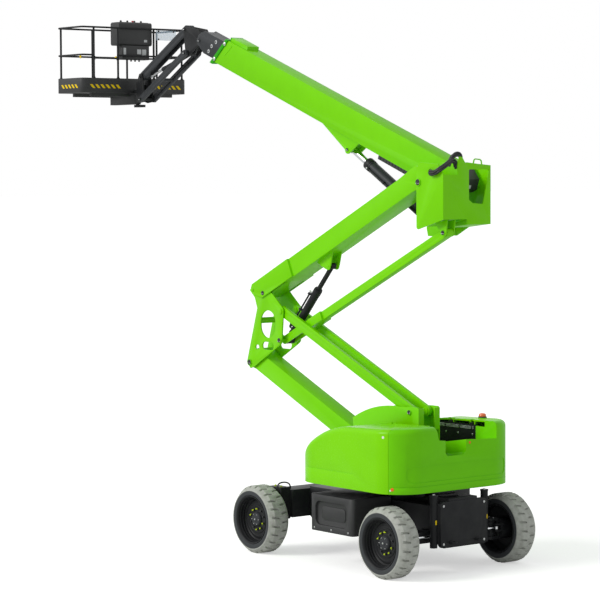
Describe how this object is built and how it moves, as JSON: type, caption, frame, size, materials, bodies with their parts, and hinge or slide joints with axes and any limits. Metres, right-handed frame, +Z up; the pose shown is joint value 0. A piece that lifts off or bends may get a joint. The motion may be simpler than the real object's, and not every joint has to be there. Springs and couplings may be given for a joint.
{
  "type": "articulating boom lift",
  "caption": "Lime-green self-propelled articulating boom lift on four grey tyres, with its folding riser, main boom and jib raised and a black tubular basket.",
  "frame": {"origin": "on the ground midway between the two axles and between the left and right wheels", "axes": "+X along the booms towards the basket, +Y to the left of that, +Z up"},
  "size_m": [9.4525, 2.73, 7.94],
  "materials": {
    "green_paint": "gloss",
    "green_shell": "gloss",
    "black_paint": "satin",
    "black_plastic": "satin",
    "grey_tyre": "matte",
    "cast_weight": "gloss",
    "chrome_rod": "polished",
    "amber": "gloss",
    "clear_sheet": "gloss"
  },
  "bodies": {
    "chassis": {"chassis_frame": "black_paint", "end_guard": "black_paint", "steer_axle": "black_paint", "steer_cylinder": "black_paint", "drive_axle": "black_paint", "side_pod_left": "black_plastic", "side_pod_right": "black_plastic", "slew_ring": "black_paint"},
    "knuckle_left": {"steer_knuckle_left": "black_paint"},
    "knuckle_right": {"steer_knuckle_right": "black_paint"},
    "steer_rod": {"steer_rod": "chrome_rod"},
    "wheel_steer_left": {"tyre_steer_left": "grey_tyre", "rim_steer_left": "black_paint"},
    "wheel_steer_right": {"tyre_steer_right": "grey_tyre", "rim_steer_right": "black_paint"},
    "wheel_drive_left": {"tyre_drive_left": "grey_tyre", "rim_drive_left": "black_paint"},
    "wheel_drive_right": {"tyre_drive_right": "grey_tyre", "rim_drive_right": "black_paint"},
    "turret": {"turret_deck": "black_paint", "turret_mast": "green_paint", "counterweight": "cast_weight", "power_pack": "black_paint", "fluid_tank": "black_plastic"},
    "hood_left": {"hood_left": "green_shell"},
    "hood_right": {"hood_right": "green_shell", "beacon": "amber"},
    "lower_boom": {"lower_boom": "green_paint"},
    "lower_ties": {"lower_ties": "green_paint"},
    "mid_knuckle": {"mid_knuckle": "green_paint"},
    "upper_riser": {"upper_riser": "green_paint"},
    "upper_tie": {"upper_tie": "green_paint"},
    "top_knuckle": {"top_knuckle": "green_paint"},
    "riser_barrel": {"riser_cylinder_barrel": "black_paint"},
    "riser_rod": {"riser_cylinder_rod": "chrome_rod"},
    "outer_boom": {"outer_boom": "green_paint"},
    "inner_boom": {"inner_boom": "black_paint"},
    "lift_barrel": {"lift_cylinder_barrel": "black_paint"},
    "lift_rod": {"lift_cylinder_rod": "chrome_rod"},
    "boom_nose": {"boom_nose": "black_paint"},
    "jib_arms": {"jib_arms": "black_paint"},
    "jib_tie": {"jib_tie": "black_paint"},
    "jib_carrier": {"jib_carrier": "black_paint"},
    "jib_barrel": {"jib_cylinder_barrel": "black_paint"},
    "jib_rod": {"jib_cylinder_rod": "chrome_rod"},
    "basket": {"basket_tray": "black_plastic", "basket_rails": "black_paint", "control_console": "black_plastic", "side_screen": "clear_sheet"},
    "drop_bar": {"drop_bar": "black_paint"}
  },
  "joints": [
    {"name": "steer_left", "type": "hinge", "parent": "chassis", "child": "knuckle_left", "pos_m": [-1.425, 0.76, 0.5], "axis": [0, 0, 1], "range_deg": [-25, 25]},
    {"name": "steer_right", "type": "hinge", "parent": "chassis", "child": "knuckle_right", "pos_m": [-1.425, -0.76, 0.5], "axis": [0, 0, 1], "range_deg": [-26, 26]},
    {"name": "steer_rod_slide", "type": "slide", "parent": "chassis", "child": "steer_rod", "axis": [0, 1, 0], "range_m": [-0.0659, 0.0659]},
    {"name": "wheel_spin_steer_left", "type": "hinge", "parent": "knuckle_left", "child": "wheel_steer_left", "pos_m": [-1.425, 1.07, 0.4875], "axis": [0, 1, 0], "continuous": true},
    {"name": "wheel_spin_steer_right", "type": "hinge", "parent": "knuckle_right", "child": "wheel_steer_right", "pos_m": [-1.425, -1.07, 0.4875], "axis": [0, 1, 0], "continuous": true},
    {"name": "wheel_spin_drive_left", "type": "hinge", "parent": "chassis", "child": "wheel_drive_left", "pos_m": [1.425, 1.07, 0.4875], "axis": [0, 1, 0], "continuous": true},
    {"name": "wheel_spin_drive_right", "type": "hinge", "parent": "chassis", "child": "wheel_drive_right", "pos_m": [1.425, -1.07, 0.4875], "axis": [0, 1, 0], "continuous": true},
    {"name": "slew", "type": "hinge", "parent": "chassis", "child": "turret", "pos_m": [-0.4, 0, 1.13], "axis": [0, 0, 1], "range_deg": [-177.5, 177.5]},
    {"name": "hood_left_hinge", "type": "hinge", "parent": "turret", "child": "hood_left", "pos_m": [-0.54, 0.341, 1.95], "axis": [1, 0, 0], "range_deg": [0, 65]},
    {"name": "hood_right_hinge", "type": "hinge", "parent": "turret", "child": "hood_right", "pos_m": [-0.54, -0.744, 1.95], "axis": [-1, 0, 0], "range_deg": [0, 65]},
    {"name": "riser", "type": "hinge", "parent": "turret", "child": "lower_boom", "pos_m": [-0.089, 0, 1.345], "axis": [0, -1, 0], "range_deg": [-23.46, 35]},
    {"name": "lower_tie_pivot", "type": "hinge", "parent": "turret", "child": "lower_ties", "pos_m": [-0.848, 0, 2.145], "axis": [0, -1, 0], "range_deg": [-23.96, 35.5]},
    {"name": "mid_knuckle_pivot", "type": "hinge", "parent": "lower_boom", "child": "mid_knuckle", "pos_m": [2.83914, 0, 2.61576], "axis": [0, -1, 0], "range_deg": [-35.5, 23.96]},
    {"name": "upper_riser_pivot", "type": "hinge", "parent": "mid_knuckle", "child": "upper_riser", "pos_m": [2.48214, 0, 3.67276], "axis": [0, 1, 0], "range_deg": [-25.64, 38.01]},
    {"name": "upper_tie_pivot", "type": "hinge", "parent": "mid_knuckle", "child": "upper_tie", "pos_m": [2.10314, 0, 2.98476], "axis": [0, 1, 0], "range_deg": [-25.64, 38.01]},
    {"name": "top_knuckle_pivot", "type": "hinge", "parent": "upper_riser", "child": "top_knuckle", "pos_m": [-1.04661, 0, 5.32876], "axis": [0, 1, 0], "range_deg": [-38.01, 25.64]},
    {"name": "riser_barrel_pivot", "type": "hinge", "parent": "mid_knuckle", "child": "riser_barrel", "pos_m": [2.10314, 0, 2.98476], "axis": [0, 1, 0], "range_deg": [-21.11, 31]},
    {"name": "riser_rod_slide", "type": "slide", "parent": "riser_barrel", "child": "riser_rod", "axis": [-0.6734, 0, 0.7393], "range_m": [-0.331, 0.4861]},
    {"name": "boom_lift", "type": "hinge", "parent": "top_knuckle", "child": "outer_boom", "pos_m": [-1.27001, -0.45, 5.31996], "axis": [0, -1, 0], "range_deg": [-20.5, 45]},
    {"name": "lift_barrel_pivot", "type": "hinge", "parent": "top_knuckle", "child": "lift_barrel", "pos_m": [-0.80001, -0.45, 4.64996], "axis": [0, -1, 0], "range_deg": [-20.94, 44.46]},
    {"name": "lift_rod_slide", "type": "slide", "parent": "lift_barrel", "child": "lift_rod", "axis": [0.8598, 0, 0.5106], "range_m": [-0.2893, 0.6143]},
    {"name": "telescope", "type": "slide", "parent": "outer_boom", "child": "inner_boom", "axis": [0.9367, 0, 0.3502], "range_m": [0, 2.6]},
    {"name": "nose_level", "type": "hinge", "parent": "inner_boom", "child": "boom_nose", "pos_m": [4.80041, -0.45, 7.55009], "axis": [0, -1, 0], "range_deg": [-45.5, 21]},
    {"name": "jib_lift", "type": "hinge", "parent": "boom_nose", "child": "jib_arms", "pos_m": [5.16001, -0.45, 7.36999], "axis": [0, -1, 0], "range_deg": [-40, 60]},
    {"name": "jib_tie_pivot", "type": "hinge", "parent": "boom_nose", "child": "jib_tie", "pos_m": [5.22501, -0.45, 7.74499], "axis": [0, -1, 0], "range_deg": [-40.5, 60.5]},
    {"name": "carrier_level", "type": "hinge", "parent": "jib_arms", "child": "jib_carrier", "pos_m": [6.41001, -0.45, 6.66999], "axis": [0, -1, 0], "range_deg": [-60.5, 40.5]},
    {"name": "jib_barrel_pivot", "type": "hinge", "parent": "boom_nose", "child": "jib_barrel", "pos_m": [5.16001, -0.45, 7.36999], "axis": [0, -1, 0], "range_deg": [-41.16, 60.76]},
    {"name": "jib_rod_slide", "type": "slide", "parent": "jib_barrel", "child": "jib_rod", "axis": [0.9605, 0, -0.2782], "range_m": [-0.2492, 0.3679]},
    {"name": "basket_rotate", "type": "hinge", "parent": "jib_carrier", "child": "basket", "pos_m": [6.70001, -0.45, 6.6], "axis": [0, 0, 1], "range_deg": [-70, 70]},
    {"name": "drop_bar_slide", "type": "slide", "parent": "basket", "child": "drop_bar", "axis": [0, 0, 1], "range_m": [0, 0.35]}
  ],
  "couplings": [
    {"joint": "steer_right", "follows": "steer_left", "ratio": 1},
    {"joint": "steer_rod_slide", "follows": "steer_left", "m_per_rad": -0.14529},
    {"joint": "lower_tie_pivot", "follows": "riser", "ratio": 1},
    {"joint": "mid_knuckle_pivot", "follows": "riser", "ratio": -1},
    {"joint": "upper_riser_pivot", "follows": "riser", "ratio": 1.0716},
    {"joint": "upper_tie_pivot", "follows": "riser", "ratio": 1.0716},
    {"joint": "top_knuckle_pivot", "follows": "riser", "ratio": -1.0716},
    {"joint": "riser_barrel_pivot", "follows": "riser", "ratio": 0.857},
    {"joint": "riser_rod_slide", "follows": "riser", "m_per_rad": 0.77},
    {"joint": "lift_barrel_pivot", "follows": "boom_lift", "ratio": 0.96},
    {"joint": "lift_rod_slide", "follows": "boom_lift", "m_per_rad": 0.76},
    {"joint": "nose_level", "follows": "boom_lift", "ratio": -1},
    {"joint": "jib_tie_pivot", "follows": "jib_lift", "ratio": 1},
    {"joint": "carrier_level", "follows": "jib_lift", "ratio": -1},
    {"joint": "jib_barrel_pivot", "follows": "jib_lift", "ratio": 0.98},
    {"joint": "jib_rod_slide", "follows": "jib_lift", "m_per_rad": 0.34}
  ]
}
